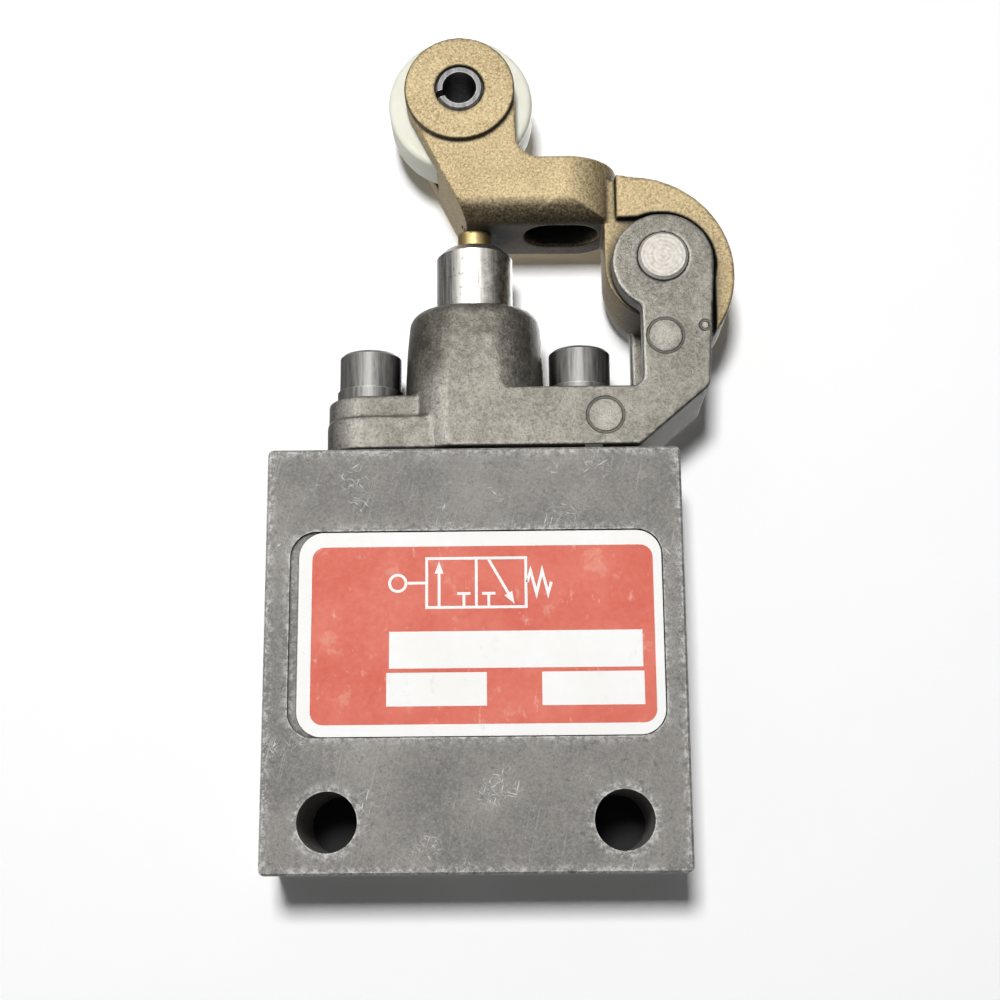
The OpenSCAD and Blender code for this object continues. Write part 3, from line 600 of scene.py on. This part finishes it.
def arrow(tail, tip, length=1.5, width=1.1):
    """Printed arrow: a line with a solid head."""
    along = (Vector(tip) - Vector(tail)).normalized()
    side = Vector((-along.y, along.x)) * width / 2
    foot = Vector(tip) - along * length
    return ribbon(tail, tuple(foot)) + [[tuple(foot - side), tuple(tip), tuple(foot + side)]]


def blocked_port(x, low, high):
    """Printed T of a closed port."""
    half, top = 0.8, high + PRINT_LINE / 2
    return ribbon((x, low), (x, high)) + ribbon((x - half, top), (x + half, top))


def valve_symbol():
    """Drawing sign of a three way valve with a roller at its left and a spring at its right."""
    left, middle, right, low, high = -5.8, 0.2, 6.2, 25.3, 31.3
    level = (low + high) / 2
    inner_low, inner_high = low + PRINT_LINE / 2, high - PRINT_LINE / 2
    near, far, stem, tip_gap = 1.5, 4.5, 1.5, 0.2
    lines = ribbon((left, low), (right, low), (right, high), (left, high), closed=True)
    lines += ribbon((middle, inner_low), (middle, inner_high))
    lines += arrow((left + near, inner_low), (left + near, inner_high - tip_gap))
    lines += blocked_port(left + far, inner_low, low + stem)
    lines += blocked_port(middle + near, inner_low, low + stem)
    lines += arrow((middle + near, inner_high), (middle + far + 0.1, inner_low + tip_gap))
    return lines + roller_sign(left, level) + spring_sign(right + PRINT_LINE / 2, level)


def roller_sign(right, level):
    """Printed wheel with a line from it to the right."""
    wheel, radius, steps = right - 3.5, 1.0, 24
    turns = [2 * math.pi * step / steps for step in range(steps)]
    rim = [(wheel + radius * math.cos(turn), level + radius * math.sin(turn)) for turn in turns]
    line = ribbon((wheel + 1.2 * radius, level), (right - PRINT_LINE / 2, level))
    return line + ribbon(*rim, closed=True)


def spring_sign(left, level):
    """Printed zigzag to the right."""
    lead, pitch, swing, bends = 0.4, 0.7, 1.4, 4
    zigzag = [(left + lead + pitch * bend, level + swing * (-1) ** bend) for bend in range(bends)]
    end = left + 2 * lead + pitch * (bends - 1)
    return ribbon((left, level), *zigzag, (end, level))


def print_layer(name, outlines, lift, material):
    """Flat print on the nameplate, lifted off its front; outlines are in millimetres across and up."""
    depth = PLATE_FRONT - lift * MM
    points, faces = [], []
    for outline in outlines:
        faces.append(tuple(range(len(points), len(points) + len(outline))))
        points += [(x * MM, depth, z * MM) for x, z in outline]
    mesh = bpy.data.meshes.new(name)
    mesh.from_pydata(points, [], faces)
    piece = link(name, mesh)
    paint(piece, material)
    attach(piece, "valve")
    return piece


def nameplate_print(looks):
    """Red panel with blank white fields and the valve's drawing sign on the white nameplate."""
    panel = [box_outline(*PANEL, PANEL_CORNER)]
    fields = [box_outline(*field) for field in FIELDS] + valve_symbol()
    print_layer("nameplate_panel", panel, PANEL_LIFT, looks["label_red"])
    print_layer("nameplate_fields", fields, FIELD_LIFT, looks["label_white"])


def port_thread(name, mount, material):
    """Ridge of a pipe thread that winds into a port."""
    pitch, height, half, first, bite, steps = 0.94, 0.36, 0.4, 0.5, 0.03, 30
    inward = -Vector(mount["axis"])
    wall = mount["dims"]["r_mm"] + bite
    turns = int(mount["dims"]["length_mm"] / pitch) - 1
    points, faces = [], []
    for step in range(turns * steps + 1):
        turn = 2 * math.pi * step / steps
        deep = first + pitch * step / steps
        for radius, shift in ((wall, -half), (wall - height, 0.0), (wall, half)):
            spot = Vector((0, radius * math.cos(turn), radius * math.sin(turn))) + inward * (deep + shift)
            points.append(Vector(mount["pos_m"]) + spot * MM)
        if step:
            low, high = 3 * step - 3, 3 * step
            faces += [(low + a, high + a, high + b, low + b) for a, b in ((0, 1), (1, 2), (2, 0))]
    faces += [(0, 1, 2), tuple(range(len(points) - 1, len(points) - 4, -1))]
    mesh = bpy.data.meshes.new(name)
    mesh.from_pydata(points, [], faces)
    piece = link(name, mesh)
    paint(piece, material)
    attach(piece, "valve")
    return piece


def set_camera():
    """Camera at the photograph's view of the valve."""
    pitch, yaw, roll = (math.radians(angle) for angle in (CAMERA_PITCH, CAMERA_YAW, CAMERA_ROLL))
    forward = Vector((-math.sin(yaw) * math.cos(pitch), math.cos(yaw) * math.cos(pitch), math.sin(pitch)))
    level = Vector((math.cos(yaw), math.sin(yaw), 0))
    above = level.cross(forward)
    right = math.cos(roll) * level + math.sin(roll) * above
    up = -math.sin(roll) * level + math.cos(roll) * above
    data = bpy.data.cameras.new("camera")
    data.sensor_width = SENSOR_MM
    data.lens = SENSOR_MM * CAMERA_FOCAL_PX / FRAME_PX
    data.clip_start = 0.01
    camera = bpy.data.objects.new("camera", data)
    turn = Matrix((right, up, -forward)).transposed().to_4x4()
    camera.matrix_world = Matrix.Translation(Vector(CAMERA_PLACE) * MM) @ turn
    scene.collection.objects.link(camera)
    scene.camera = camera


def lamp(name, place, target, size, watts):
    """Soft square lamp at a place, pointed at a target, in metres."""
    data = bpy.data.lights.new(name, "AREA")
    data.size = size
    data.energy = watts
    piece = bpy.data.objects.new(name, data)
    piece.location = place
    piece.rotation_euler = (Vector(target) - Vector(place)).to_track_quat("-Z", "Y").to_euler()
    scene.collection.objects.link(piece)
    return piece


def card(name, corners, material):
    """Flat stage card, in metres."""
    mesh = bpy.data.meshes.new(name)
    mesh.from_pydata(corners, [], [tuple(range(len(corners)))])
    piece = link(name, mesh)
    paint(piece, material)
    return piece


def paper_material():
    """White paper that shows only from its front."""
    look = Look("paper")
    fibre = look.noise(6, 5, 0.6)
    look.finish(look.mix(fibre, (0.98, 0.98, 0.985), (1.0, 1.0, 1.0)), 0.9)
    return one_sided(look)


def hole_shade_material():
    """Black felt discs behind the mounting holes: painted shade, so that the holes show dark."""
    look = Look("hole_shade_card")
    look.finish(look.mix(look.noise(2), (0.012, 0.012, 0.013), (0.022, 0.021, 0.022)), 1.0)
    return one_sided(look)


def flag_material():
    """Dark card that only reflections see, for the dark sides of round forms."""
    look = Look("flag")
    return look.finish(look.mix(look.noise(80), (0.02, 0.02, 0.02), (0.03, 0.03, 0.03)), 1.0)


def gleam_material():
    """Bright card that only reflections see, for the soft light on the left of round forms."""
    look = Look("gleam")
    return look.finish((0.8, 0.8, 0.8), 1.0, Emission_Color=(1, 1, 1, 1), Emission_Strength=BRIGHT_LEVEL)


def one_sided(look):
    """Lets a stage card show only from its front, and be clear from behind."""
    swap = look.add("MixShader")
    look.feed(swap.inputs["Fac"], look.add("NewGeometry").outputs["Backfacing"])
    look.feed(swap.inputs[1], look.shader.outputs[0])
    look.feed(swap.inputs[2], look.add("BsdfTransparent").outputs[0])
    look.feed(look.tree.nodes["Material Output"].inputs["Surface"], swap.outputs[0])
    return look.material


def set_world():
    """Even white surroundings: full white where they are seen, dimmer as a light."""
    world = bpy.data.worlds.new("world")
    world.use_nodes = True
    tree = world.node_tree
    background = tree.nodes["Background"]
    background.inputs["Color"].default_value = (1, 1, 1, 1)
    path = tree.nodes.new("ShaderNodeLightPath")
    seen = path.outputs["Is Camera Ray"]
    for ray in ("Is Glossy Ray", "Is Transmission Ray"):
        either = tree.nodes.new("ShaderNodeMath")
        either.operation = "MAXIMUM"
        tree.links.new(seen, either.inputs[0])
        tree.links.new(path.outputs[ray], either.inputs[1])
        seen = either.outputs[0]
    level = tree.nodes.new("ShaderNodeMapRange")
    level.inputs["To Min"].default_value = AMBIENT
    tree.links.new(seen, level.inputs["Value"])
    tree.links.new(level.outputs["Result"], background.inputs["Strength"])
    scene.world = world


def hide_from(piece, *rays):
    """Takes a stage card out of the view of some kinds of rays."""
    for ray in rays:
        setattr(piece, "visible_" + ray, False)


def upright(start, end, low, high):
    """Corners of an upright card between two places across and deep."""
    return [(*start, low), (*end, low), (*end, high), (*start, high)]


def lying(start, end, height):
    """Corners of a level card between two opposite corners across and deep."""
    (left, front), (right, back) = start, end
    return [(left, front, height), (right, front, height), (right, back, height), (left, back, height)]


def set_hole_shade():
    """Black discs of painted shade behind the mounting holes, hardly larger than the holes."""
    steps = 48
    holes = MOUNT["mounting_holes"]["dims"]
    reach = holes["hole_r_mm"] * MM + PAPER_GAP / 2
    turns = [2 * math.pi * step / steps for step in range(steps)]
    material = hole_shade_material()
    for name, side in (("left", -1), ("right", 1)):
        x = side * holes["spacing_x_mm"] * MM / 2
        disc = [(x + reach * math.cos(turn), PAPER_GAP / 3, reach * math.sin(turn)) for turn in turns]
        card("hole_shade_card_" + name, disc, material)


def set_reflections():
    """Dark and bright cards that only reflections see."""
    dark = flag_material()
    cards = [card(name, upright(*edges), dark) for name, edges in DARK_CARDS.items()]
    cards.append(card("flag_below", lying(*LOW_CARD), dark))
    cards.append(card("gleam", upright(*BRIGHT_CARD), gleam_material()))
    for piece in cards:
        hide_from(piece, "camera", "diffuse", "transmission", "shadow")


def set_stage():
    """Paper behind the valve's back, soft lamps, and cards for the reflections."""
    scene.view_settings.view_transform = "Standard"
    set_world()
    sheet = upright((-PAPER_REACH, PAPER_GAP), (PAPER_REACH, PAPER_GAP), -PAPER_REACH, PAPER_REACH)
    hide_from(card("paper", sheet, paper_material()), "diffuse", "glossy", "transmission", "shadow")
    set_hole_shade()
    middle = (cad_box[0] + cad_box[1]) / 2
    for name, (place, size, watts) in LAMPS.items():
        lamp(name, place, middle, size, watts)
    set_reflections()


def main():
    """Paints every node, adds the pieces that only the scene has, and sets the stage and the camera."""
    looks = finishes()
    for row in frame["record"]["subparts"]:
        paint(nodes[row["node"]], looks[row["material_slot"]])
    soft_casting("head", "head_casting", "valve", HEAD_ROUNDS, looks["cast_grey"])
    soft_casting("lever", "lever_casting", "lever_arm", LEVER_ROUNDS, looks["bronze"])
    nameplate_print(looks)
    for name in ("supply", "outlet", "exhaust"):
        port_thread(name + "_thread", MOUNT[name + "_port"], looks["body_grey"])
    set_stage()
    set_camera()


main()
